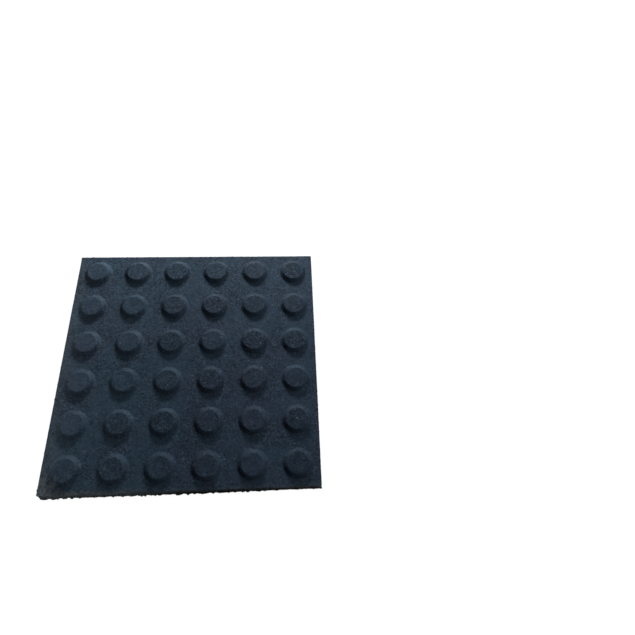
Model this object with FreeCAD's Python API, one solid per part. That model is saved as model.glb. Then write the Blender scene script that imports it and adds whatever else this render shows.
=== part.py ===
"""Tactile warning slab of pressed rubber crumb, with a square field of truncated domes on its top face.

The slab is one moulding: a flat plate with its domes standing up from it in straight rows. It lies flat on its
bed face, with +Z up. The origin is the centre of the bed face, X and Y run along the slab's sides, and lengths are
in millimetres. A half pitch of plain margin lies outside the outer domes, so the rows carry on unbroken over the
joint when slabs are laid edge to edge.
"""

import FreeCAD
import Part
import math
import os

# The plate
slab_side = 300.0  # length of each side, which is also the size of the laying module
plate_thickness = 15.0  # from the bed face to the walking surface between the domes
corner_radius = 1.5  # rounding of the four upright corners, seen from above
arris_radius = 1.0  # rounding of the top outer edge, left by the mould
bed_chamfer = 0.5  # small bevel round the bed face, where the moulding flash is trimmed off

# The domes
dome_pitch = 50.0  # from centre to centre, both ways
dome_foot_diameter = 35.0  # where the sloping flank would meet the walking surface
dome_top_diameter = 25.0  # where the sloping flank would meet the flat top
dome_height = 4.0  # from the walking surface to the flat top
rim_bevel = 0.7  # small bevel between the flank and the flat top, as long on each of them

# Derived sizes
domes_per_row = int(slab_side // dome_pitch)
row_length = (domes_per_row - 1) * dome_pitch
dome_root = plate_thickness / 2.0  # how far a dome's core reaches down into the plate it is fused with

UP = FreeCAD.Vector(0, 0, 1)
ORIGIN = FreeCAD.Vector(0, 0, 0)
FULL_TURN = 360.0


def rounded_square(side, radius):
    """A square face in the XY plane about the origin, with its four corners rounded."""
    half = side / 2.0
    straight = half - radius
    edges = []
    for quarter in range(4):
        turn = FreeCAD.Rotation(UP, 90.0 * quarter)
        side_start = turn.multVec(FreeCAD.Vector(half, -straight, 0))
        side_end = turn.multVec(FreeCAD.Vector(half, straight, 0))
        corner_end = turn.multVec(FreeCAD.Vector(straight, half, 0))
        diagonal = straight + radius * math.cos(math.pi / 4.0)
        corner_middle = turn.multVec(FreeCAD.Vector(diagonal, diagonal, 0))
        edges.append(Part.makeLine(side_start, side_end))
        edges.append(Part.Arc(side_end, corner_middle, corner_end).toShape())
    return Part.Face(Part.Wire(edges))


def edges_at_height(shape, height):
    """The edges of a shape that lie all along one level."""
    found = []
    for edge in shape.Edges:
        box = edge.BoundBox
        if abs(box.ZMin - height) < 1e-6 and abs(box.ZMax - height) < 1e-6:
            found.append(edge)
    return found


def make_plate():
    """The flat plate under the domes, with its mould-rounded arris and its trimmed lower edge."""
    plate = rounded_square(slab_side, corner_radius).extrude(UP * plate_thickness)
    plate = plate.makeFillet(arris_radius, edges_at_height(plate, plate_thickness))
    return plate.makeChamfer(bed_chamfer, edges_at_height(plate, 0.0))


def make_dome():
    """One truncated dome on the Z axis, turned from its half profile, with a root inside the plate."""
    foot = dome_foot_diameter / 2.0
    top = dome_top_diameter / 2.0
    summit = plate_thickness + dome_height
    root = plate_thickness - dome_root
    outline = [
        FreeCAD.Vector(0, 0, root),
        FreeCAD.Vector(foot, 0, root),
        FreeCAD.Vector(foot, 0, plate_thickness),
        FreeCAD.Vector(top, 0, summit),
        FreeCAD.Vector(0, 0, summit),
    ]
    profile = Part.Face(Part.makePolygon(outline + outline[:1]))
    dome = profile.revolve(ORIGIN, UP, FULL_TURN)
    return dome.makeChamfer(rim_bevel, edges_at_height(dome, summit))


def dome_centres():
    """The plan positions of the domes, row by row, centred on the slab."""
    first = -row_length / 2.0
    for row in range(domes_per_row):
        for column in range(domes_per_row):
            yield FreeCAD.Vector(first + column * dome_pitch, first + row * dome_pitch, 0)


def make_slab():
    """The whole moulding as one solid."""
    dome = make_dome()
    domes = []
    for centre in dome_centres():
        domes.append(dome.translated(centre))
    return make_plate().fuse(domes).removeSplitter()


def main():
    slab = make_slab()
    solid = slab.Solids[0]
    print("solids", len(slab.Solids), "valid", solid.isValid(), "faces", len(solid.Faces))
    box = solid.BoundBox
    print("size", round(box.XLength, 3), round(box.YLength, 3), round(box.ZLength, 3))
    print("domes", domes_per_row * domes_per_row, "volume in cubic centimetres", round(solid.Volume / 1000.0, 1))
    os.makedirs("parts", exist_ok=True)
    solid.exportStep("parts/blister_slab.step")


main()
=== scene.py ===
"""Looks of a tactile warning slab that is moulded from rubber crumb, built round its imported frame.

The slab is one moulding, a plate with six rows of six truncated domes. A Geometry Nodes tree makes its skin:
it wraps rings of faces round every dome, sinks a relief of crumbs into them and closes the sides and the bed.
More trees strew single crumbs that stand a little proud of the skin and hang them from the trimmed lower
edge. The file is laid out as an add-on, and running it as a script calls its operators in turn. Lengths are
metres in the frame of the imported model.
"""

import bpy
import math
from mathutils import Matrix, Vector


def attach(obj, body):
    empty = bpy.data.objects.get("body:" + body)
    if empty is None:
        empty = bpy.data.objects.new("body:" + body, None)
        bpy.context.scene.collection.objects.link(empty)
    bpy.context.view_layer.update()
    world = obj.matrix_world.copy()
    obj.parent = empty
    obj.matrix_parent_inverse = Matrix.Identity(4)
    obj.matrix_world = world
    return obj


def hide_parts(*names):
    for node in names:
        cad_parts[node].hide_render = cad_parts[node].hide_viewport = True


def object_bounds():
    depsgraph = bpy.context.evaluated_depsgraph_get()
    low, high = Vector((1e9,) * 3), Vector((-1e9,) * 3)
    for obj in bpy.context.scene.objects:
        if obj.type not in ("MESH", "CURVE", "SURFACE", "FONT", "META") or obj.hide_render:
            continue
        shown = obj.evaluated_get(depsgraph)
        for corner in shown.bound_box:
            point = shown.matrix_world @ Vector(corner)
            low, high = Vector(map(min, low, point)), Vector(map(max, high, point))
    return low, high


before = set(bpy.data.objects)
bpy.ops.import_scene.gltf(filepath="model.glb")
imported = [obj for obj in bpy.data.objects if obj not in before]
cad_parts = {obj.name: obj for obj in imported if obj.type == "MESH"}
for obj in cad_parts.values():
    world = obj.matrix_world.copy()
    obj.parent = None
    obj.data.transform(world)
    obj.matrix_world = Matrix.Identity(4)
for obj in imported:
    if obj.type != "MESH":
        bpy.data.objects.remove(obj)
CAD_LOW, CAD_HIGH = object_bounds()

bl_info = {
    "name": "Domed Warning Slab",
    "version": (1, 0, 0),
    "blender": (4, 5, 0),
    "location": "View3D > Sidebar > Warning Slab",
    "description": "Builds a rubber crumb warning slab with truncated domes, its crumbs and its stage",
    "category": "Add Mesh",
}

BODY = "root"
NODE = "blister_slab"


def setting(kind, **sort):
    """A function that makes settings of one sort, each from its name, description and default."""
    return lambda name, text, default: kind(name=name, description=text, default=default, **sort)


a_count = setting(bpy.props.IntProperty)
a_number = setting(bpy.props.FloatProperty)
a_length = setting(bpy.props.FloatProperty, unit="LENGTH")
a_power = setting(bpy.props.FloatProperty, unit="POWER")
an_angle = setting(bpy.props.FloatProperty, subtype="ANGLE")
a_colour = setting(bpy.props.FloatVectorProperty, subtype="COLOR")
a_place = setting(bpy.props.FloatVectorProperty, subtype="TRANSLATION", unit="LENGTH")


class SlabSizes(bpy.types.PropertyGroup):
    """Sizes of the moulding."""

    side: a_length("Side", "Length of each side of the square", CAD_HIGH.x - CAD_LOW.x)
    total_height: a_length("Total Height", "From the bed face to the dome tops", CAD_HIGH.z)
    dome_height: a_length("Dome Height", "From the walking surface to the dome tops", 0.004)
    rows: a_count("Rows", "Domes in each row", 6)
    pitch: a_length("Dome Pitch", "Between dome centres, both ways", 0.050)
    foot: a_length("Dome Foot", "Diameter where a flank meets the plate, but for its hollow", 0.0340)
    top: a_length("Dome Top", "Diameter where a flank meets the flat top", 0.0250)
    rim_softness: a_length("Rim Softness", "Height over which the rim is rounded", 0.0005)
    foot_softness: a_length("Foot Softness", "Height over which the foot is hollowed", 0.0007)
    arris: a_length("Arris", "Drop of the top outer edge", 0.0007)
    corner: a_length("Corner", "Rounding of the upright corners", 0.0006)
    bed_bevel: a_length("Bed Bevel", "Bevel round the bed face", 0.0005)


class CrumbSettings(bpy.types.PropertyGroup):
    """Sizes and numbers of the rubber crumbs."""

    crumb: a_length("Crumb Size", "Width of an average crumb", 0.0016)
    cover: a_length("Cover", "How far the skin lies under the highest crumbs", 0.00012)
    relief: a_length("Relief", "Depth of the gaps between crumbs in the skin", 0.00026)
    waviness: a_length("Waviness", "Depth of the wide hollows in the skin", 0.00018)
    patch: a_length("Patch Size", "Width of the smooth and the open patches", 0.030)
    proud: a_length("Proud", "How far the highest crumbs stand out of the skin", 0.00014)
    reach: a_length("Reach", "How far the ragged lower edge hangs out of the sides", 0.0009)
    burr: a_length("Burr", "Length of the burr near the front left corner", 0.0065)
    seed: a_count("Seed", "Seed of everything random", 7)


class SlabColours(bpy.types.PropertyGroup):
    """Colours of the crumbs."""

    teal: a_colour("Teal Charcoal", "Most of the crumbs", (0.0172, 0.0325, 0.0490))
    violet: a_colour("Violet Charcoal", "The warmer crumbs", (0.0232, 0.0318, 0.0508))
    pale: a_colour("Pale Crumb", "The few pale crumbs", (0.055, 0.074, 0.096))
    worn: a_colour("Worn Grey", "The rubbed outer border", (0.0700, 0.0808, 0.0885))
    gap: a_colour("Gap", "The gaps between crumbs", (0.006, 0.010, 0.015))
    raw_side: a_colour("Raw Side", "The crumbs of the sides and the bed", (0.0065, 0.0080, 0.0100))
    # Dust, with painted light, brightens and greys the colour towards the low X side
    dust: a_colour("Dust", "What the dust adds, as a share of the colour under it", (1.0, 0.9, 0.72))
    sheen: a_colour("Sheen", "Tint of the soft sheen", (0.46, 0.72, 1.0))


class StageSettings(bpy.types.PropertyGroup):
    """The floor, the lamps and the camera."""

    floor: a_colour("Floor", "Colour of the floor", (0.86, 0.86, 0.86))
    key_power: a_power("Key Lamp", "Power of the key lamp", 8.8)
    back_power: a_power("Back Lamp", "Power of the back lamp", 2.6)
    side_power: a_power("Side Lamp", "Power of the side lamp", 20.5)
    fill_power: a_power("Fill Lamp", "Power of the low fill lamp", 0.115)
    ambient: a_number("Ambient", "Strength of the light from all round", 0.07)
    lens: a_number("Lens", "Focal length in millimetres", 30.0)
    camera_place: a_place("Camera Place", "Where the camera stands", (0.10707, -0.25539, 0.60568))
    camera_turn: an_angle("Camera Turn", "Clockwise from +Y, seen from above", math.radians(8.659))
    camera_dip: an_angle("Camera Dip", "Below the horizon", math.radians(61.928))
    camera_roll: an_angle("Camera Roll", "Tilt about its own line of sight", math.radians(6.824))


def on_both_sides(operation):
    """The two methods that a wire has for one sign of arithmetic, as what stands before it and after it."""
    return (
        lambda wire, other: wire.sketch.arithmetic(operation, wire, other),
        lambda wire, other: wire.sketch.arithmetic(operation, other, wire),
    )


class Wire:
    """An output of a node. Sums and comparisons that it is written in add the nodes that work them out."""

    __add__, __radd__ = on_both_sides("ADD")
    __sub__, __rsub__ = on_both_sides("SUBTRACT")
    __mul__, __rmul__ = on_both_sides("MULTIPLY")
    __truediv__, __rtruediv__ = on_both_sides("DIVIDE")

    def __init__(self, sketch, socket):
        self.sketch = sketch
        self.socket = socket

    def __abs__(self):
        return self.maths("ABSOLUTE")

    def __gt__(self, other):
        return self.maths("GREATER_THAN", other)

    def __lt__(self, other):
        return self.maths("LESS_THAN", other)

    def maths(self, operation, *terms):
        """A step on numbers that starts with this one."""
        return self.sketch.maths(operation, self, *terms)

    def at_least(self, other):
        """This number, or another where that is larger."""
        return self.maths("MAXIMUM", other)

    def at_most(self, other):
        """This number, or another where that is smaller."""
        return self.maths("MINIMUM", other)

    def ramp(self, low, high, to_low=0.0, to_high=1.0, smooth=True):
        """This number brought from one range to another and kept inside it."""
        feeds = {"Value": self, "From Min": low, "From Max": high, "To Min": to_low, "To Max": to_high}
        curve = "SMOOTHSTEP" if smooth else "LINEAR"
        return self.sketch.node("ShaderNodeMapRange", feeds, interpolation_type=curve)["Result"]

    def between(self, first, second):
        """A number that lies between two others by this share."""
        return self.sketch.node("ShaderNodeMix", {0: self, 2: first, 3: second}, data_type="FLOAT")[0]

    def blend(self, first, second):
        """A colour that lies between two others by this share."""
        return self.sketch.node("ShaderNodeMix", {0: self, 6: first, 7: second}, data_type="RGBA")[2]

    def split(self):
        """The three parts of this vector."""
        parts = self.sketch.node("ShaderNodeSeparateXYZ", {0: self})
        return parts[0], parts[1], parts[2]

    def vector(self, operation):
        """A step on this vector alone."""
        made = self.sketch.node("ShaderNodeVectorMath", {0: self}, operation=operation)
        return made["Value" if operation == "LENGTH" else "Vector"]


def is_vector(term):
    """Whether a term is a vector or a colour, and not a number."""
    return isinstance(term, tuple) or isinstance(term, Wire) and term.socket.type in {"VECTOR", "RGBA"}


class NodeSketch:
    """Adds nodes to one tree and links them as they are written."""

    def __init__(self, tree):
        self.tree = tree

    def feed(self, socket, value):
        """Links a socket to a wire, or to each wire of a list in turn, or sets its value."""
        if isinstance(value, list):
            for wire in value:
                self.feed(socket, wire)
        elif isinstance(value, Wire):
            self.tree.links.new(value.socket, socket)
        else:
            socket.default_value = value

    def node(self, kind, feeds=None, **settings):
        """The outputs, by name and by place, of a new node whose inputs are fed by name or by place."""
        made = self.tree.nodes.new(kind)
        for name, value in settings.items():
            setattr(made, name, value)
        for socket, value in (feeds or {}).items():
            self.feed(made.inputs[socket], value)
        wires = [Wire(self, socket) for socket in made.outputs]
        return {**dict(enumerate(wires)), **{wire.socket.name: wire for wire in reversed(wires)}}

    def group(self, tree, values, **others):
        """The outputs of a node group. Each of its inputs is fed with the value that has its name."""
        kind = "ShaderNodeGroup" if self.tree.type == "SHADER" else "GeometryNodeGroup"
        values = {**values, **others}
        return self.node(kind, {item.name: values[item.name] for item in inputs_of(tree)}, node_tree=tree)

    def finished(self, results):
        """The tree, once its own outputs are fed by name."""
        self.node("NodeGroupOutput", results)
        return self.tree

    def maths(self, operation, *terms):
        """A step on numbers."""
        return self.node("ShaderNodeMath", dict(enumerate(terms)), operation=operation)[0]

    def arithmetic(self, operation, first, second):
        """A step on two numbers or on two vectors, or a vector times a number."""
        if is_vector(first) == is_vector(second):
            kind = "ShaderNodeVectorMath" if is_vector(first) else "ShaderNodeMath"
            return self.node(kind, {0: first, 1: second}, operation=operation)[0]
        if operation != "MULTIPLY":
            raise ValueError(f"{operation} of a vector and a number")
        vector, scale = (first, second) if is_vector(first) else (second, first)
        return self.node("ShaderNodeVectorMath", {"Vector": vector, "Scale": scale}, operation="SCALE")[0]

    def switch(self, choice, no, yes):
        """One of two vectors."""
        feeds = {"Switch": choice, "False": no, "True": yes}
        return self.node("GeometryNodeSwitch", feeds, input_type="VECTOR")[0]

    def joined(self, x, y, z):
        """A vector of three parts."""
        return self.node("ShaderNodeCombineXYZ", {0: x, 1: y, 2: z})[0]

    def noise(self, place, width, detail=2.0, roughness=0.5):
        """Even noise from 0 to 1 whose blots are about as wide as is given, as a value and a colour."""
        scale = self.maths("DIVIDE", 1.0, width)
        feeds = {"Vector": place, "Scale": scale, "Detail": detail, "Roughness": roughness}
        return self.node("ShaderNodeTexNoise", feeds)

    def cells(self, place, width, feature="F1"):
        """A Voronoi texture whose cells are about as wide as is given."""
        feeds = {"Vector": place, "Scale": self.maths("DIVIDE", 1.0, width)}
        return self.node("ShaderNodeTexVoronoi", feeds, feature=feature)

    def placed(self, geometry, **feeds):
        """Geometry whose points get a new position or an offset."""
        return self.node("GeometryNodeSetPosition", {"Geometry": geometry, **feeds})[0]

    def painted(self, geometry, material, selection=True):
        """Geometry with a material on the chosen faces."""
        feeds = {"Geometry": geometry, "Selection": selection, "Material": material}
        return self.node("GeometryNodeSetMaterial", feeds)[0]

    def shaded(self, geometry, smooth, selection=True, domain="FACE"):
        """Geometry with the chosen faces or edges shaded smooth or sharp."""
        feeds = {"Geometry": geometry, "Selection": selection, "Shade Smooth": smooth}
        return self.node("GeometryNodeSetShadeSmooth", feeds, domain=domain)[0]

    def stored(self, geometry, name, value, data_type, domain):
        """Geometry with a value stored on it under a name."""
        feeds = {"Geometry": geometry, "Name": name, "Value": value}
        return self.node("GeometryNodeStoreNamedAttribute", feeds, data_type=data_type, domain=domain)[0]


# The kinds of the named inputs and outputs of trees that aren't numbers
SOCKET_KINDS = {
    **dict.fromkeys(("Place", "Centre", "Offset", "Tilt"), "NodeSocketVector"),
    **dict.fromkeys(("Skin", "Raw Side", "Crumb Material"), "NodeSocketMaterial"),
    "Geometry": "NodeSocketGeometry",
}


def new_tree(name, inputs, outputs=("Geometry",), kind="GeometryNodeTree"):
    """A sketch on a new node tree with named inputs and outputs, and the wires of its inputs."""
    tree = bpy.data.node_groups.new(name, kind)
    for in_out, labels in (("INPUT", inputs), ("OUTPUT", outputs)):
        for label in labels:
            socket_type = SOCKET_KINDS.get(label, "NodeSocketFloat")
            tree.interface.new_socket(name=label, in_out=in_out, socket_type=socket_type)
    sketch = NodeSketch(tree)
    return sketch, sketch.node("NodeGroupInput")


def inputs_of(tree):
    """The named inputs of a tree."""
    items = tree.interface.items_tree
    return [item for item in items if item.item_type == "SOCKET" and item.in_out == "INPUT"]


def emptied(owner):
    """A sketch on the tree of a material or a world, once its first nodes are out."""
    owner.use_nodes = True
    owner.node_tree.nodes.clear()
    return NodeSketch(owner.node_tree)


# Effects that the shapes and the materials share, so that a crumb's relief, tint and gaps fall together.
# A ramp is given as where it starts and ends and then its values there, and the rest are shares.
MIDDLE = (0.5, 0.5, 0.5)
WOBBLE_WIDTH = 0.7
WOBBLE_REACH = 0.9
GAP_RAMP = (0.02, 0.17, 1.0, 0.0)
SWELL_RAMP = (0.1, 0.9, 1.0, 0.0)
SWELL_SHARE = 0.55
OPEN_GROUND = (0.36, 0.64, 0.45, 1.0)
OPEN_TOPS = (0.0, 1.0, 0.35, 1.4)
RUBBED_SHARE = 0.35
TOP_SAY = 0.75
TOP_FADE = 0.9
FLANK_FADE = 0.0006
# Where the painted shade on the tops starts and ends across X
SHADED_TOPS = (0.15, 0.95)


def dome_place_group(kind):
    """Where a point lies in the square that belongs to one dome, and a chance number for that dome."""
    outputs = ("Centre", "Offset", "Distance", "Chance")
    sketch, given = new_tree("Dome place", ("Place", "Rows", "Pitch"), outputs, kind)
    half_rows = given["Rows"] / 2.0
    last = given["Rows"] - 1.0
    numbers = []
    for part in given["Place"].split()[:2]:
        along = (part / given["Pitch"] + half_rows).maths("FLOOR")
        numbers.append(along.at_most(last).at_least(0.0))
    steps = [number + 0.5 - half_rows for number in numbers]
    centre = sketch.joined(*steps, 0.0) * given["Pitch"]
    offset = given["Place"] * (1.0, 1.0, 0.0) - centre
    noise = sketch.node("ShaderNodeTexWhiteNoise", {"Vector": sketch.joined(*numbers, 0.0)})
    results = {"Centre": centre, "Offset": offset, "Distance": offset.vector("LENGTH"), "Chance": noise[0]}
    return sketch.finished(results)


def crumb_cells_group(kind):
    """Crumbs pressed together: a tint, a hue and a tilt for each, the gaps between them, and their height."""
    outputs = ("Tint", "Hue", "Tilt", "Gap", "Height")
    sketch, given = new_tree("Crumb cells", ("Place", "Crumb"), outputs, kind)
    wobble = sketch.noise(given["Place"], given["Crumb"] * WOBBLE_WIDTH, detail=1.0)[1]
    place = given["Place"] + (wobble - MIDDLE) * given["Crumb"] * WOBBLE_REACH
    crumbs = sketch.cells(place, given["Crumb"])
    edges = sketch.cells(place, given["Crumb"], feature="DISTANCE_TO_EDGE")
    tint, level, hue = crumbs["Color"].split()
    turned = sketch.node("ShaderNodeTexWhiteNoise", {"Vector": crumbs["Color"]})[1]
    swell = crumbs["Distance"].ramp(*SWELL_RAMP)
    height = swell * SWELL_SHARE + level * (1.0 - SWELL_SHARE)
    gap = edges["Distance"].ramp(*GAP_RAMP)
    return sketch.finished({"Tint": tint, "Hue": hue, "Tilt": turned - MIDDLE, "Gap": gap, "Height": height})


def openness_group(kind, dome_place):
    """How open the skin is, from smooth at 0 to crumbly at 1 and more, and where shade is painted into the
    colour.

    Each dome's top has an openness of its own, and the column of tops at the low end of X is rubbed smooth.
    The flanks get painted shade, and the tops get more painted shade towards the high end of X.
    """
    inputs = ("Place", "Patch", "Rows", "Pitch", "Foot", "Top")
    sketch, given = new_tree("Openness", inputs, ("Openness", "Clean"), kind)
    spot = sketch.group(dome_place, given)
    ground = sketch.noise(given["Place"], given["Patch"], detail=3.0)[0].ramp(*OPEN_GROUND)
    half_rows = given["Rows"] / 2.0
    across = spot["Centre"].split()[0]
    rubbed = across < given["Pitch"] * (1.0 - half_rows)
    top = spot["Chance"].ramp(*OPEN_TOPS, smooth=False) * rubbed.between(1.0, RUBBED_SHARE)
    rim = given["Top"] / 2.0
    on_top = spot["Distance"].ramp(rim * TOP_FADE, rim, 1.0, 0.0)
    foot = given["Foot"] / 2.0
    # Painted shade falls on the whole flank, and on the tops more towards high X
    within_foot = spot["Distance"].ramp(foot - FLANK_FADE, foot, 1.0, 0.0)
    flank = within_foot * spot["Distance"].ramp(rim, rim + FLANK_FADE)
    half_field = half_rows * given["Pitch"]
    shaded_top = on_top * across.ramp(half_field * -1.0, half_field, *SHADED_TOPS, smooth=False)
    openness = (on_top * TOP_SAY).between(ground, top)
    return sketch.finished({"Openness": openness, "Clean": flank.at_least(shaded_top)})


def effect_groups(kind):
    """The shared effects for one kind of tree."""
    dome_place = dome_place_group(kind)
    openness = openness_group(kind, dome_place)
    return {"dome_place": dome_place, "cells": crumb_cells_group(kind), "openness": openness}


# Where the parts of the moulding lie on the square map that its patterns are baked through
TOP_SHARE = 0.80
BED_SHARE = 0.18
BED_START = 0.81
STRIP_START = 0.815
STRIP_PITCH = 0.045


def stretched_over_map(place, side, share, start=0.0):
    """The map place of a point that is seen from straight above."""
    across = place * (1.0 / side) + (0.5, 0.5, 0.0)
    return across * share + (start, 0.0, 0.0)


def middle_of_face(sketch, position):
    """The position of the middle of each face."""
    return sketch.node("GeometryNodeFieldOnDomain", {0: position}, data_type="FLOAT_VECTOR", domain="FACE")[0]


def strip_on_map(sketch, place, side):
    """The map place of a point on one of the four sides, each a strip along the map's upper edge."""
    x, y, z = place.split()
    face_x, face_y, _ = middle_of_face(sketch, place).split()
    on_x = abs(face_x) > abs(face_y)
    facing = on_x.between(face_y, face_x)
    strip = on_x * 2.0 + (facing > 0.0)
    scale = TOP_SHARE / side
    across = on_x.between(x, y) * scale + TOP_SHARE / 2.0
    start = strip * STRIP_PITCH + STRIP_START
    return sketch.joined(across, start + z * scale, 0.0)


def with_bake_map(sketch, geometry, value):
    """Stores a map place on every corner of the faces, under the name of the map that the patterns are baked
    through.
    """
    return sketch.stored(geometry, "OFBake", value, "FLOAT2", "CORNER")


# Rings of faces round a dome: the ring's number, the edge that it lies near and how far outside it
RINGS = 24
RING_STOPS = ((8, "Top", -0.0006), (10, "Top", 0.0005), (13, "Foot", -0.0007), (15, "Foot", 0.0006))
WALL_ROWS = 9
BORDER_SHARE = 0.1  # of the arris, which the grid's own border falls and is drawn in by
NEARLY_OUT = 0.4999  # of the field, past which a grid point is on the border
CRISP_FOLD = 60.0  # degrees, past which an edge is shaded sharp
MERGE_DISTANCE = 0.00001
NEARLY_BED = 0.1  # of the bed bevel, under which a face is on the bed
RELIEF_CLEAR = 4.0  # bed bevels, above which the relief is whole
WAVE_WIDTH = 0.6  # of a patch


def ringed_position(sketch, given, position, dome_place):
    """A grid point moved so that each dome's square becomes rings, round at the dome and square outside."""
    spot = sketch.group(dome_place, given, Place=position)
    half_pitch = given["Pitch"] / 2.0
    u, v, _ = (spot["Offset"] * (1.0 / half_pitch)).split()
    ring = abs(u).at_least(abs(v))
    eighth = math.pi / 4.0
    from_x = v / u * eighth
    from_y = u / v * eighth
    wide = sketch.joined(from_x.maths("COSINE"), from_x.maths("SINE"), 0.0) * u.maths("SIGN")
    tall = sketch.joined(from_y.maths("SINE"), from_y.maths("COSINE"), 0.0) * v.maths("SIGN")
    turned = sketch.switch(abs(u) > abs(v), tall, wide)
    stops = [(number / RINGS, given[edge] / 2.0 + outside) for number, edge, outside in RING_STOPS]
    round_until = stops[-1][0]
    stops.append((1.0, half_pitch))
    radius, last_share, last_radius = 0.0, 0.0, 0.0
    for share, stop in stops:
        radius = radius + ring.ramp(last_share, share, 0.0, stop - last_radius, smooth=False)
        last_share, last_radius = share, stop
    square = sketch.joined(u, v, 0.0) * (1.0 / ring)
    feeds = {0: ring.ramp(round_until, 1.0), 4: turned, 5: square}
    direction = sketch.node("ShaderNodeMix", feeds, data_type="VECTOR")[1]
    return spot["Centre"] + direction * radius


def skin_height(sketch, given, position, dome_place):
    """How high the skin is over a point, with rounded rims and hollowed feet."""
    spot = sketch.group(dome_place, given, Place=position)
    foot = given["Foot"] / 2.0
    slope = given["Dome Height"] / (foot - given["Top"] / 2.0)
    flank = (foot - spot["Distance"]) * slope
    capped = flank.maths("SMOOTH_MIN", given["Dome Height"], given["Rim Softness"])
    return given["Plate"] + capped.maths("SMOOTH_MAX", 0.0, given["Foot Softness"])


def kept_in_outline(sketch, given, position):
    """A point brought inside the slab's outline with its rounded corners."""
    half_side = given["Side"] / 2.0
    straight = half_side - given["Corner"]
    kept = [part.at_most(half_side).at_least(half_side * -1.0) for part in position.split()[:2]]
    past = [(abs(part) - straight).at_least(0.0) for part in kept]
    past_corner = sketch.joined(*past, 0.0)
    longest = past_corner.vector("LENGTH").at_least(given["Corner"])
    flat = sketch.joined(*kept, 0.0)
    return flat + past_corner * (given["Corner"] / longest - 1.0) * flat.vector("SIGN")


def open_border(sketch):
    """Chooses the edges that have a face on one side only."""
    faces = sketch.node("GeometryNodeInputMeshEdgeNeighbors")[0]
    return sketch.node("FunctionNodeCompare", {2: faces, 3: 1}, data_type="INT", operation="EQUAL")[0]


def hung_row(sketch, geometry, position, drop, widen):
    """One more row of faces below the open border, lower by a drop and wider by a factor."""
    feeds = {"Mesh": geometry, "Selection": open_border(sketch), "Offset Scale": drop}
    feeds["Offset"] = sketch.joined(0.0, 0.0, -1.0)
    pulled = sketch.node("GeometryNodeExtrudeMesh", feeds, mode="EDGES")
    grown = position * sketch.joined(widen, widen, 1.0)
    return sketch.placed(pulled["Mesh"], Selection=pulled["Top"], Position=grown)


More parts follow.
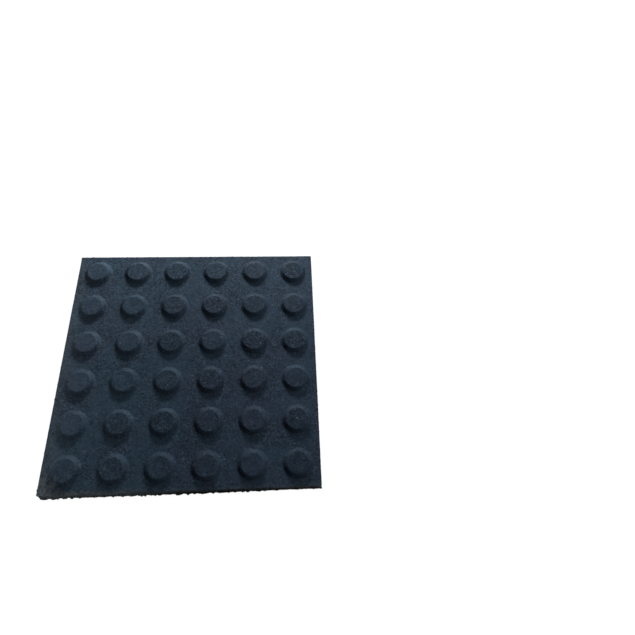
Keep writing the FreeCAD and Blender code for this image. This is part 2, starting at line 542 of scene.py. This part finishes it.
def moulding_tree(effects):
    """The tree of the whole skin: rings round the domes, the sides, the bed and the relief."""
    inputs = (
        "Side", "Plate", "Dome Height", "Rows", "Pitch", "Foot", "Top", "Rim Softness", "Foot Softness",
        "Arris", "Corner", "Bed Bevel", "Crumb", "Relief", "Waviness", "Patch", "Skin", "Raw Side",
    )
    sketch, given = new_tree("Domed moulding", inputs)
    position = sketch.node("GeometryNodeInputPosition")[0]
    dome_place = effects["dome_place"]
    bevel = given["Bed Bevel"]
    half_side = given["Side"] / 2.0
    field = given["Rows"] * given["Pitch"]

    # A plain grid with the same number of faces in every dome's square, bent into rings
    vertices = given["Rows"] * (2.0 * RINGS) + 1.0
    feeds = {"Size X": field, "Size Y": field, "Vertices X": vertices, "Vertices Y": vertices}
    grid = sketch.node("GeometryNodeMeshGrid", feeds)["Mesh"]
    rings = sketch.placed(grid, Position=ringed_position(sketch, given, position, dome_place))

    # The domes rise, and the border falls with the arris and is drawn in
    x, y, z = position.split()
    at_border = abs(x).at_least(abs(y)) > field * NEARLY_OUT
    border_fall = given["Arris"] * BORDER_SHARE
    fall = at_border * border_fall
    height = skin_height(sketch, given, position, dome_place) - fall
    inside = kept_in_outline(sketch, given, position) * (1.0 - fall / half_side)
    crown = sketch.placed(rings, Position=inside + sketch.joined(0.0, 0.0, height))
    crown = sketch.painted(crown, given["Skin"])

    # The sides hang from the border row by row, and the last row is the bevel round the bed
    widen = 1.0 / (1.0 - border_fall / half_side)
    skirt = hung_row(sketch, crown, position, given["Arris"] - border_fall, widen)
    row = (given["Plate"] - given["Arris"] - bevel) / float(WALL_ROWS)
    for _ in range(WALL_ROWS):
        skirt = hung_row(sketch, skirt, position, row, 1.0)
    skirt = hung_row(sketch, skirt, position, bevel, 1.0 - bevel / half_side)
    middle_z = middle_of_face(sketch, position).split()[2]
    arris_z = given["Plate"] - given["Arris"] * 0.5
    skirt = sketch.painted(skirt, given["Raw Side"], middle_z < arris_z)
    fold = sketch.node("GeometryNodeInputMeshEdgeAngle")["Unsigned Angle"]
    skirt = sketch.shaded(sketch.shaded(skirt, True), False, fold > math.radians(CRISP_FOLD), "EDGE")

    # The bed closes the lowest border with one flat face
    outline = sketch.node("GeometryNodeMeshToCurve", {"Mesh": skirt, "Selection": open_border(sketch)})[0]
    bed = sketch.node("GeometryNodeFillCurve", {"Curve": outline}, mode="NGONS")[0]
    bed = sketch.node("GeometryNodeFlipFaces", {"Mesh": bed})[0]
    bed = sketch.shaded(sketch.painted(bed, given["Raw Side"]), False)
    whole = sketch.node("GeometryNodeJoinGeometry", {0: [bed, skirt]})[0]
    closed = sketch.node("GeometryNodeMergeByDistance", {"Geometry": whole, "Distance": MERGE_DISTANCE})[0]

    # The map for baking, laid out on the plain shape
    top_place = stretched_over_map(position, given["Side"], TOP_SHARE)
    bed_place = stretched_over_map(position, given["Side"], BED_SHARE, BED_START)
    strip_place = strip_on_map(sketch, position, given["Side"])
    lower_place = sketch.switch(middle_z < bevel * NEARLY_BED, strip_place, bed_place)
    closed = with_bake_map(sketch, closed, sketch.switch(middle_z > arris_z, lower_place, top_place))

    # The relief only goes inwards, so that the moulding keeps its size, and it leaves the bed flat
    cells = sketch.group(effects["cells"], given, Place=position)
    openness = sketch.group(effects["openness"], given, Place=position)["Openness"]
    waves = sketch.noise(position, given["Patch"] * WAVE_WIDTH, detail=1.0)[0]
    down = (1.0 - cells["Height"]) * openness * given["Relief"] + waves * given["Waviness"]
    above_bed = z.ramp(bevel, bevel * RELIEF_CLEAR)
    normal = sketch.node("GeometryNodeInputNormal")[0]
    pressed = sketch.placed(closed, Offset=normal * (down * above_bed * -1.0))
    return sketch.finished({"Geometry": sketch.node("GeometryNodeRealizeInstances", {0: pressed})[0]})


# The pieces of strewn crumbs, in the order of their zones' numbers
ZONE_PIECES = ("plate_crumbs", "dome_crumbs", "side_crumbs")
SIDE_ZONE = 2
TINT = "crumb_tint"
CRUMB_SHAPES = 6
CRUMB_BOX = 0.9
CORNER_PUSH = 0.22
CRUMB_SPACING = 0.86  # of a crumb
STREWN_WIDTHS = (0.55, 1.05)  # of a crumb, as all such pairs
STREWN_HEIGHTS = (0.4, 0.6)
STREWN_TILTS = (-0.25, 0.25)  # radians
STREWN_SHOW = (-0.6, 1.0)
FULL_TURN = (0.0, 2.0 * math.pi)
KEPT_CLEAR = 0.7  # of a crumb, from the outer edge and the floor
FACES_UP = 0.4
FACES_OUT = 0.3


def chance(sketch, seed, salt, limits):
    """A random number for each point or instance."""
    feeds = {2: limits[0], 3: limits[1], "Seed": seed + float(salt)}
    return sketch.node("FunctionNodeRandomValue", feeds, data_type="FLOAT")[1]


def crumb_shapes(sketch):
    """Angular crumbs, each a box with its corners pushed about, as instances one unit wide."""
    shapes = []
    for number in range(CRUMB_SHAPES):
        box = sketch.node("GeometryNodeMeshCube", {"Size": (CRUMB_BOX,) * 3})["Mesh"]
        feeds = {0: (-CORNER_PUSH,) * 3, 1: (CORNER_PUSH,) * 3, "Seed": number}
        push = sketch.node("FunctionNodeRandomValue", feeds, data_type="FLOAT_VECTOR")[0]
        lump = sketch.shaded(sketch.placed(box, Offset=push), False)
        shapes.append(sketch.node("GeometryNodeGeometryToInstance", {0: lump})[0])
    return sketch.node("GeometryNodeJoinGeometry", {0: shapes})[0]


def crumbs_on(sketch, points, seed, rotation, scale, selection=True):
    """A crumb of a random shape on each point, with a tint of its own, as a mesh."""
    feeds = {4: 0, 5: CRUMB_SHAPES - 1, "Seed": seed + 1.0}
    pick = sketch.node("FunctionNodeRandomValue", feeds, data_type="INT")[2]
    feeds = {
        "Points": points, "Selection": selection, "Instance": crumb_shapes(sketch), "Pick Instance": True,
        "Instance Index": pick, "Rotation": rotation, "Scale": scale
    }
    crumbs = sketch.node("GeometryNodeInstanceOnPoints", feeds)[0]
    tinted = sketch.stored(crumbs, TINT, chance(sketch, seed, 9, (0.0, 1.0)), "FLOAT", "INSTANCE")
    return sketch.node("GeometryNodeRealizeInstances", {0: tinted})[0]


def crumb_scatter_tree(effects):
    """The tree that strews single crumbs over one zone of the finished skin."""
    inputs = (
        "Geometry", "Zone", "Side", "Rows", "Pitch", "Foot", "Top", "Patch", "Crumb", "Proud", "Spacing",
        "Seed", "Crumb Material",
    )
    sketch, given = new_tree("Crumb scatter", inputs)
    position = sketch.node("GeometryNodeInputPosition")[0]
    facing = sketch.node("GeometryNodeInputNormal")[0].split()[2]
    seed, crumb = given["Seed"], given["Crumb"]

    # The zone that this piece covers, clear of the outer edge
    spot = sketch.group(effects["dome_place"], given, Place=position)
    x, y, z = position.split()
    clear = crumb * KEPT_CLEAR
    inside = abs(x).at_least(abs(y)) < given["Side"] / 2.0 - clear
    facing_up = (facing > FACES_UP) * inside
    on_dome = facing_up * (spot["Distance"] < given["Foot"] / 2.0)
    chosen = 0.0
    for number, mask in enumerate((facing_up - on_dome, on_dome, abs(facing) < FACES_OUT)):
        chosen = chosen + given["Zone"].maths("COMPARE", float(number), 0.5) * mask

    # Open patches have more crumbs, and more of each shows
    openness = sketch.group(effects["openness"], given, Place=position)["Openness"]
    feeds = {
        "Mesh": given["Geometry"], "Selection": chosen, "Distance Min": given["Spacing"],
        "Density Max": 1.0 / (given["Spacing"] * given["Spacing"]), "Density Factor": openness, "Seed": seed
    }
    strewn = sketch.node("GeometryNodeDistributePointsOnFaces", feeds, distribute_method="POISSON")
    width, length = [crumb * chance(sketch, seed, salt, STREWN_WIDTHS) for salt in (2, 3)]
    height = crumb * chance(sketch, seed, 4, STREWN_HEIGHTS)
    tilt = [chance(sketch, seed, salt, STREWN_TILTS) for salt in (5, 6)]
    spin = sketch.joined(*tilt, chance(sketch, seed, 7, FULL_TURN))
    turn = sketch.node("FunctionNodeEulerToRotation", {0: spin})[0]
    feeds = {"Rotation": strewn["Rotation"], "Rotate By": turn}
    rotation = sketch.node("FunctionNodeRotateRotation", feeds, rotation_space="LOCAL")[0]
    out = openness * chance(sketch, seed, 8, STREWN_SHOW) * given["Proud"] - height * 0.5
    bedded = sketch.placed(strewn["Points"], Offset=strewn["Normal"] * out)
    crumbs = crumbs_on(sketch, bedded, seed, rotation, sketch.joined(width, length, height), z > clear)
    top_place = stretched_over_map(position, given["Side"], TOP_SHARE)
    strip_place = strip_on_map(sketch, position, given["Side"])
    is_side = given["Zone"].maths("COMPARE", float(SIDE_ZONE), 0.5)
    crumbs = with_bake_map(sketch, crumbs, sketch.switch(is_side, top_place, strip_place))
    return sketch.finished({"Geometry": sketch.painted(crumbs, given["Crumb Material"])})


# The ragged lower edge, in shares of a crumb, of the burr or of the reach
EDGE_STEP = 0.55
EDGE_WIDTHS = (0.55, 0.95)
EDGE_HEIGHTS = (0.40, 0.60)
EDGE_LIFT = 0.75
EDGE_HANG = (0.4, 1.0)
CLUSTER_WIDTH = 3.0
CLUSTER_RAMP = (0.45, 0.62, 0.45, 1.0)
LONGER_RAMP = (0.20, 0.26, 1.15, 0.0)  # along X from the corner, in metres, and how much longer the hang is
NEARLY_SIDE = -0.999
BURR_START = -0.001
BURR_SWELL = 0.45
BURR_FADE = 0.6
BURR_TURN = (0.15, 0.45)
BURR_TURNED = 0.8
BURR_HANG = 1.9
WIDTH_OVER_HANG = 1.25  # so that no crumb stands clear of the side


def edge_crumb_tree():
    """The tree of the ragged lower edge: crumbs in small clusters, and a burr near one corner."""
    inputs = ("Side", "Crumb", "Reach", "Burr", "Seed", "Crumb Material")
    sketch, given = new_tree("Edge crumbs", inputs)
    position = sketch.node("GeometryNodeInputPosition")[0]
    seed, side, crumb, length = given["Seed"], given["Side"], given["Crumb"], given["Burr"]
    outline = sketch.node("GeometryNodeCurvePrimitiveQuadrilateral", {0: side, 1: side})[0]
    feeds = {"Curve": outline, "Length": crumb * EDGE_STEP}
    points = sketch.node("GeometryNodeCurveToPoints", feeds, mode="LENGTH")[0]

    # The burr starts round the corner with low X and low Y, and most of it lies on the side that faces low Y
    x, y, _ = position.split()
    half_side = side / 2.0
    along = x + half_side
    on_front = y < half_side * NEARLY_SIDE
    on_left = x < half_side * NEARLY_SIDE
    swell = along.ramp(BURR_START, length * BURR_SWELL)
    fade = along.ramp(length * BURR_FADE, length, 1.0, 0.0)
    turn_start, turn_end = [length * share for share in BURR_TURN]
    turned = on_left * (y + half_side).ramp(turn_start, turn_end, BURR_TURNED, 0.0)
    burr = (on_front * (swell * fade)).at_least(turned)
    thick = sketch.noise(position, crumb * CLUSTER_WIDTH, detail=1.0)[0].ramp(*CLUSTER_RAMP)

    # Outwards, which is along X or along Y
    on_x = abs(x) > abs(y)
    outwards = sketch.joined(x, y, 0.0).vector("SIGN") * sketch.joined(on_x, 1.0 - on_x, 0.0)
    size = crumb * (1.0 + burr)
    height = size * chance(sketch, seed, 4, EDGE_HEIGHTS)
    longer = 1.0 + on_front * along.ramp(*LONGER_RAMP)
    hang = given["Reach"] * longer * thick * chance(sketch, seed, 8, EDGE_HANG)
    out = hang.at_least(given["Reach"] * (burr * BURR_HANG))
    width = (size * chance(sketch, seed, 2, EDGE_WIDTHS)).at_least(out * WIDTH_OVER_HANG)
    offset = outwards * (out - width * 0.5) + sketch.joined(0.0, 0.0, height * EDGE_LIFT)
    spin = sketch.joined(0.0, 0.0, chance(sketch, seed, 7, FULL_TURN))
    turn = sketch.node("FunctionNodeEulerToRotation", {0: spin})[0]
    placed = sketch.placed(points, Offset=offset)
    crumbs = crumbs_on(sketch, placed, seed, turn, sketch.joined(width, width, height))
    crumbs = with_bake_map(sketch, crumbs, strip_on_map(sketch, position, side))
    return sketch.finished({"Geometry": sketch.painted(crumbs, given["Crumb Material"])})


def new_object(name, data):
    """A new object in the scene."""
    made = bpy.data.objects.new(name, data)
    bpy.context.scene.collection.objects.link(made)
    return made


def grown_by_nodes(name, base, tree, values):
    """The piece of rubber that a tree makes from a base mesh with these inputs, a mesh with no modifier."""
    grower = new_object(name + "_grower", base)
    modifier = grower.modifiers.new("Grow", "NODES")
    modifier.node_group = tree
    for item in inputs_of(tree):
        if item.name in values:
            modifier[item.identifier] = values[item.name]
    evaluated = grower.evaluated_get(bpy.context.evaluated_depsgraph_get())
    mesh = bpy.data.meshes.new_from_object(evaluated)
    bpy.data.objects.remove(grower)
    if not mesh.polygons:
        raise RuntimeError(f"{name} came out empty")
    mesh.name = name
    piece = new_object(name, mesh)
    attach(piece, BODY)
    return piece


# Wear, and dust with painted light. A ramp runs between two places, in metres, and then come its values
# there.
WEAR_WIDTH = 0.004
GRIT_WIDTH = 0.00035
RAGGED = (0.3, 0.7)
RAGGED_REACH = (0.4, 1.6)
MOTTLING = (0.75, 1.25)
LEFT_WEAR = (0.003, 0.020, 0.29, 0.02)
# Dust with painted light, fading out from the low X side
LEFT_DUST_AND_LIGHT = (0.010, 0.170, 0.38, 0.0)
FRONT_EDGE = (-0.0015, 0.0015, 1.0, 0.0)
FRONT_WEAR = (0.05, 0.115, 0.70, 0.18)
CORNER_REACH = (3.0, 9.0)
CORNER_WEAR = 1.15
SKIN_WEAR = 0.85
UPPER_SIDE = (0.006, 0.013, 0.0, 0.25)
LOWER_SIDE = (0.050, 0.190, 1.0, 0.0)


def grit_group():
    """Fine grit far smaller than a crumb."""
    sketch, given = new_tree("Fine grit", ("Place", "Width"), ("Grit",), "ShaderNodeTree")
    noise = sketch.noise(given["Place"], given["Width"], detail=4.0, roughness=0.65)
    return sketch.finished({"Grit": noise[0]})


def worn_border_group():
    """How far the rubber is rubbed grey, and the dust and painted light that brighten it.

    The wear lies along the low X side, in a ragged strip along low Y, and most at their corner.
    """
    outputs = ("Skin Wear", "Side Wear", "Dust")
    sketch, given = new_tree("Worn border", ("Place", "Side", "Width"), outputs, "ShaderNodeTree")
    half_side = given["Side"] / 2.0
    x, y, z = given["Place"].split()
    from_left = x + half_side
    from_front = y + half_side
    ragged = sketch.noise(given["Place"], given["Width"] * 1.2, detail=3.0)[0]
    reach = given["Width"] * ragged.ramp(*RAGGED, *RAGGED_REACH, smooth=False)
    mottled = ragged.ramp(*RAGGED, *MOTTLING, smooth=False)
    left = from_left.ramp(*LEFT_WEAR) * mottled
    front = (from_front - reach).ramp(*FRONT_EDGE) * from_left.ramp(*FRONT_WEAR)
    corner_start, corner_end = [reach * share for share in CORNER_REACH]
    corner = (from_left + from_front).ramp(corner_start, corner_end, 1.0, 0.0)
    skin_wear = left.at_least(front).at_least(corner * CORNER_WEAR) * SKIN_WEAR
    side_wear = from_left.ramp(*LOWER_SIDE).at_least(z.ramp(*UPPER_SIDE)) * mottled
    # Dust and painted light brighten the colour towards the low X side
    dust = from_left.ramp(*LEFT_DUST_AND_LIGHT) * mottled
    return sketch.finished({"Skin Wear": skin_wear, "Side Wear": side_wear.at_most(1.0), "Dust": dust})


# The finish of the rubber. A ramp runs between two values of a tint or a noise, and then come the results.
CLOUD_WIDTH = 0.060
CLOUD_HUE = (0.36, 0.66, 0.0, 0.45)
CRUMB_HUE = (0.2, 1.0, 0.0, 0.5)
CLOTTING_WIDTH = 0.012
CLOTTING = (0.3, 0.7, 0.88, 1.12)
SMOOTH_CONTRAST = 0.4
GRITTINESS = (0.3, 0.7, 0.82, 1.18)
PALE_TINTS = (0.95, 0.98)
PALE_SHARE = 0.7
PIT_TINTS = (0.05, 0.10, 1.0, 0.0)
DARK_SHARE = 0.60
ROUGHNESS = (0.55, 0.69)
CRUMB_BUMP = 0.16
GRIT_BUMP = 0.06
BUMP_DISTANCE = 0.001
# How far the painted shade darkens the flanks and the tops
PAINTED_SHADE_SHARE = 0.24


def opaque(colour):
    """A colour with its alpha."""
    return (*colour, 1.0)


def rubber_material(name, effects, scene, finish, contrast, loose):
    """Pressed rubber whose crumbs differ in tint by the contrast. Loose crumbs have tints of their own."""
    values, colours = tree_values(scene), scene.slab_colours
    material = bpy.data.materials.new(name)
    material.diffuse_color = opaque(finish["main"])
    sketch = emptied(material)
    place = sketch.node("ShaderNodeTexCoord")["Object"]
    cells = sketch.group(effects["cells"], values, Place=place)
    open_skin = sketch.group(effects["openness"], values, Place=place)
    grit = sketch.group(effects["grit"], values, Place=place, Width=GRIT_WIDTH)["Grit"]
    wear = sketch.group(effects["worn"], values, Place=place, Width=WEAR_WIDTH)
    openness = open_skin["Openness"]
    tint, hue = cells["Tint"], cells["Hue"]
    if loose:
        tint = sketch.node("ShaderNodeAttribute", attribute_name=TINT, attribute_type="GEOMETRY")["Fac"]
        hue = (tint * 7.0).maths("FRACT")

    # Each crumb leans to teal or to violet, and clouds of each lie over the slab
    cloud_hue = sketch.noise(place, CLOUD_WIDTH)[0].ramp(*CLOUD_HUE)
    lean = cloud_hue + hue.ramp(*CRUMB_HUE, smooth=False)
    base = lean.blend(opaque(finish["main"]), opaque(finish["patch"]))
    # Dust and painted light brighten and grey the colour towards the low X side
    base = base * (tuple(colours.dust) * wear["Dust"] + (1.0, 1.0, 1.0))
    # Painted shade darkens the flanks, and the tops more towards high X
    base = base * (1.0 - open_skin["Clean"] * finish["clean"])
    base = wear[finish["wear"]].blend(base, opaque(colours.worn))
    clotted = sketch.noise(place, CLOTTING_WIDTH, detail=3.0)[0].ramp(*CLOTTING, smooth=False)
    spread = (tint - 0.5) * 2.0 * contrast
    bright = 1.0 + spread * openness.ramp(0.0, 1.0, SMOOTH_CONTRAST, 1.0)
    varied = base * (bright * grit.ramp(*GRITTINESS, smooth=False) * clotted)

    # A few crumbs are pale, a few have fallen out and left a dark pit, and gaps lie between the rest
    pale = tint.ramp(*PALE_TINTS) * (openness * PALE_SHARE)
    flecked = pale.blend(varied, opaque(finish["pale"]))
    pit = tint.ramp(*PIT_TINTS) * openness
    dark = pit.at_least(cells["Gap"] * openness) * DARK_SHARE
    feeds = {
        "Base Color": dark.blend(flecked, opaque(colours.gap)),
        "Roughness": tint.ramp(0.0, 1.0, *ROUGHNESS, smooth=False),
        "Specular IOR Level": finish["level"],
        "Specular Tint": opaque(colours.sheen),
    }
    if not loose:
        normal = sketch.node("ShaderNodeNewGeometry")["Normal"]
        tilted = (normal + cells["Tilt"] * (openness * finish["tilt"])).vector("NORMALIZE")
        height = cells["Height"] * openness * CRUMB_BUMP + grit * GRIT_BUMP
        bump = {"Height": height, "Strength": 1.0, "Distance": BUMP_DISTANCE, "Normal": tilted}
        feeds["Normal"] = sketch.node("ShaderNodeBump", bump)[0]
    rubber = sketch.node("ShaderNodeBsdfPrincipled", feeds)[0]
    sketch.node("ShaderNodeOutputMaterial", {"Surface": rubber})
    return material


def rubber_materials(scene):
    """The materials of the slab, made once and found by name after that."""
    colours = scene.slab_colours
    skin = {"main": colours.teal, "patch": colours.violet, "pale": colours.pale, "wear": "Skin Wear"}
    # The skin gets painted shade on its flanks and tops, the raw sides none
    skin.update(clean=PAINTED_SHADE_SHARE, level=0.06, tilt=0.27)
    raw = {"main": colours.raw_side, "patch": colours.raw_side, "pale": colours.teal, "wear": "Side Wear"}
    raw.update(clean=0.0, level=0.05, tilt=0.6)
    kinds = {
        "pressed_skin": (skin, 0.26, False), "raw_side": (raw, 0.45, False),
        "skin_crumb": (skin, 0.28, True), "side_crumb": (raw, 0.45, True),
    }
    if any(name not in bpy.data.materials for name in kinds):
        effects = {**effect_groups("ShaderNodeTree"), "grit": grit_group(), "worn": worn_border_group()}
        for name, kind in kinds.items():
            rubber_material(name, effects, scene, *kind)
    return {name: bpy.data.materials[name] for name in kinds}


def tree_values(scene):
    """The sizes that the settings hold, by the names that the trees' inputs have, and two that follow."""
    values = {}
    for settings in (scene.slab_sizes, scene.slab_crumbs):
        for name in settings.__annotations__:
            values[name.replace("_", " ").title()] = float(getattr(settings, name))
    values["Plate"] = values["Total Height"] - values["Dome Height"] - values["Cover"]
    values["Spacing"] = values["Crumb"] * CRUMB_SPACING
    return values


class WARNING_SLAB_OT_make_moulding(bpy.types.Operator):
    """Makes the skin of the whole moulding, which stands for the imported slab"""

    bl_idname = "warning_slab.make_moulding"
    bl_label = "Make Moulding"

    def execute(self, context):
        materials = rubber_materials(context.scene)
        values = tree_values(context.scene)
        values.update({"Skin": materials["pressed_skin"], "Raw Side": materials["raw_side"]})
        tree = moulding_tree(effect_groups("GeometryNodeTree"))
        piece = grown_by_nodes("domed_moulding", bpy.data.meshes.new("seed"), tree, values)
        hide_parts(NODE)
        return {"FINISHED"}


class WARNING_SLAB_OT_strew_crumbs(bpy.types.Operator):
    """Strews single crumbs over the plate, the domes and the sides"""

    bl_idname = "warning_slab.strew_crumbs"
    bl_label = "Strew Crumbs"

    def execute(self, context):
        materials = rubber_materials(context.scene)
        moulding = bpy.data.objects["domed_moulding"]
        tree = crumb_scatter_tree(effect_groups("GeometryNodeTree"))
        for zone, name in enumerate(ZONE_PIECES):
            values = tree_values(context.scene)
            values["Zone"] = float(zone)
            values["Seed"] += zone * 100.0
            values["Crumb Material"] = materials["side_crumb" if zone == SIDE_ZONE else "skin_crumb"]
            grown_by_nodes(name, moulding.data.copy(), tree, values)
        return {"FINISHED"}


class WARNING_SLAB_OT_fray_edge(bpy.types.Operator):
    """Hangs ragged crumbs and a burr from the trimmed lower edge"""

    bl_idname = "warning_slab.fray_edge"
    bl_label = "Fray Lower Edge"

    def execute(self, context):
        values = tree_values(context.scene)
        values["Crumb Material"] = rubber_materials(context.scene)["side_crumb"]
        grown_by_nodes("edge_crumbs", bpy.data.meshes.new("seed"), edge_crumb_tree(), values)
        return {"FINISHED"}


class WARNING_SLAB_OT_set_stage(bpy.types.Operator):
    """Sets the floor, the lamps and the camera"""

    bl_idname = "warning_slab.set_stage"
    bl_label = "Set Stage"

    def execute(self, context):
        stage = context.scene.slab_stage
        make_floor(stage)
        light_stage(stage)
        place_camera(stage)
        context.scene.view_settings.view_transform = "Standard"
        return {"FINISHED"}


FLOOR_REACH = 6.0
FLOOR_DROP = 0.0001
FLOOR_GLOW = 0.93  # share of plain white in what the camera sees of the floor, the rest of which is lit
FLOOR_WHITE = 1.05
WHITE = (1.0, 1.0, 1.0, 1.0)


def make_floor(stage):
    """A wide floor under the bed, near white to the camera but for the shadow, and clear from below."""
    reach = FLOOR_REACH
    corners = [(-reach, -reach), (reach, -reach), (reach, reach), (-reach, reach)]
    mesh = bpy.data.meshes.new("floor")
    mesh.from_pydata([(x, y, -FLOOR_DROP) for x, y in corners], [], [(0, 1, 2, 3)])
    floor = new_object("floor", mesh)
    material = bpy.data.materials.new("pale_floor")
    sketch = emptied(material)
    matt = sketch.node("ShaderNodeBsdfDiffuse", {"Color": opaque(stage.floor)})[0]
    white = sketch.node("ShaderNodeEmission", {"Color": WHITE, "Strength": FLOOR_WHITE})[0]
    clear = sketch.node("ShaderNodeBsdfTransparent")[0]
    glow = sketch.node("ShaderNodeLightPath")["Is Camera Ray"] * FLOOR_GLOW
    lit = sketch.node("ShaderNodeMixShader", {0: glow, 1: matt, 2: white})[0]
    behind = sketch.node("ShaderNodeNewGeometry")["Backfacing"]
    sided = sketch.node("ShaderNodeMixShader", {0: behind, 1: lit, 2: clear})[0]
    sketch.node("ShaderNodeOutputMaterial", {"Surface": sided})
    mesh.materials.append(material)


def area_lamp(name, place, target, width, height, power):
    """A rectangular lamp that faces a target and that the camera doesn't see."""
    lamp = bpy.data.lights.new(name, "AREA")
    lamp.shape = "RECTANGLE"
    lamp.size = width
    lamp.size_y = height
    lamp.energy = power
    holder = new_object(name, lamp)
    holder.location = place
    holder.rotation_mode = "QUATERNION"
    holder.rotation_quaternion = (Vector(target) - Vector(place)).to_track_quat("-Z", "Y")
    holder.visible_camera = False


def around(azimuth, elevation, distance):
    """A place at an azimuth from +X towards +Y and an elevation, in degrees, and a distance in metres."""
    turn, rise = math.radians(azimuth), math.radians(elevation)
    level = math.cos(rise)
    return Vector((level * math.cos(turn), level * math.sin(turn), math.sin(rise))) * distance


def light_stage(stage):
    """A low strip beyond the far side, two soft lamps farther off, a low fill by the low X side, a world."""
    middle = (0.0, 0.0, 0.0)
    fill_place, fill_target = (-0.230, -0.060, 0.035), (-0.12, -0.05, 0.012)
    area_lamp("key_lamp", around(88.0, 19.0, 0.70), middle, 0.30, 0.06, stage.key_power)
    area_lamp("back_lamp", around(45.0, 28.0, 1.0), middle, 0.3, 0.2, stage.back_power)
    area_lamp("side_lamp", around(347.0, 35.0, 2.0), middle, 1.0, 0.8, stage.side_power)
    area_lamp("fill_lamp", fill_place, fill_target, 0.32, 0.03, stage.fill_power)
    world = bpy.data.worlds.new("pale_room")
    bpy.context.scene.world = world
    sketch = emptied(world)
    seen = sketch.node("ShaderNodeLightPath")["Is Camera Ray"]
    strength = seen.ramp(0.0, 1.0, stage.ambient, 1.0, smooth=False)
    light = sketch.node("ShaderNodeBackground", {"Color": WHITE, "Strength": strength})[0]
    sketch.node("ShaderNodeOutputWorld", {"Surface": light})


def place_camera(stage):
    """The camera at the photograph's viewing angle."""
    turn, dip, roll = stage.camera_turn, stage.camera_dip, stage.camera_roll
    forward = Vector((math.sin(turn) * math.cos(dip), math.cos(turn) * math.cos(dip), -math.sin(dip)))
    level_right = Vector((math.cos(turn), -math.sin(turn), 0.0))
    level_up = level_right.cross(forward)
    right = level_right * math.cos(roll) + level_up * math.sin(roll)
    up = level_up * math.cos(roll) - level_right * math.sin(roll)
    axes = Matrix((right, up, -forward)).transposed()
    lens = bpy.data.cameras.new("camera")
    lens.sensor_fit = "HORIZONTAL"
    lens.sensor_width = 36.0
    lens.lens = stage.lens
    lens.clip_start = 0.01
    lens.clip_end = 50.0
    camera = new_object("camera", lens)
    camera.matrix_world = Matrix.Translation(stage.camera_place) @ axes.to_4x4()
    bpy.context.scene.camera = camera


OPERATORS = (
    WARNING_SLAB_OT_make_moulding, WARNING_SLAB_OT_strew_crumbs, WARNING_SLAB_OT_fray_edge,
    WARNING_SLAB_OT_set_stage,
)
SETTINGS = {
    "slab_sizes": SlabSizes,
    "slab_crumbs": CrumbSettings,
    "slab_colours": SlabColours,
    "slab_stage": StageSettings,
}


class WARNING_SLAB_PT_panel(bpy.types.Panel):
    """Lists the steps and the settings of the slab"""

    bl_idname = "WARNING_SLAB_PT_panel"
    bl_label = "Warning Slab"
    bl_space_type = "VIEW_3D"
    bl_region_type = "UI"
    bl_category = "Warning Slab"

    def draw(self, context):
        for operator in OPERATORS:
            self.layout.operator(operator.bl_idname)
        for group in SETTINGS:
            settings = getattr(context.scene, group)
            box = self.layout.box()
            for name in settings.__annotations__:
                box.prop(settings, name)


CLASSES = (*SETTINGS.values(), *OPERATORS, WARNING_SLAB_PT_panel)


def register():
    for kind in CLASSES:
        bpy.utils.register_class(kind)
    for name, kind in SETTINGS.items():
        setattr(bpy.types.Scene, name, bpy.props.PointerProperty(type=kind))


def unregister():
    for name in SETTINGS:
        delattr(bpy.types.Scene, name)
    for kind in reversed(CLASSES):
        bpy.utils.unregister_class(kind)


def main():
    register()
    bpy.ops.warning_slab.make_moulding()
    bpy.ops.warning_slab.strew_crumbs()
    bpy.ops.warning_slab.fray_edge()
    bpy.ops.warning_slab.set_stage()


if __name__ == "__main__":
    main()
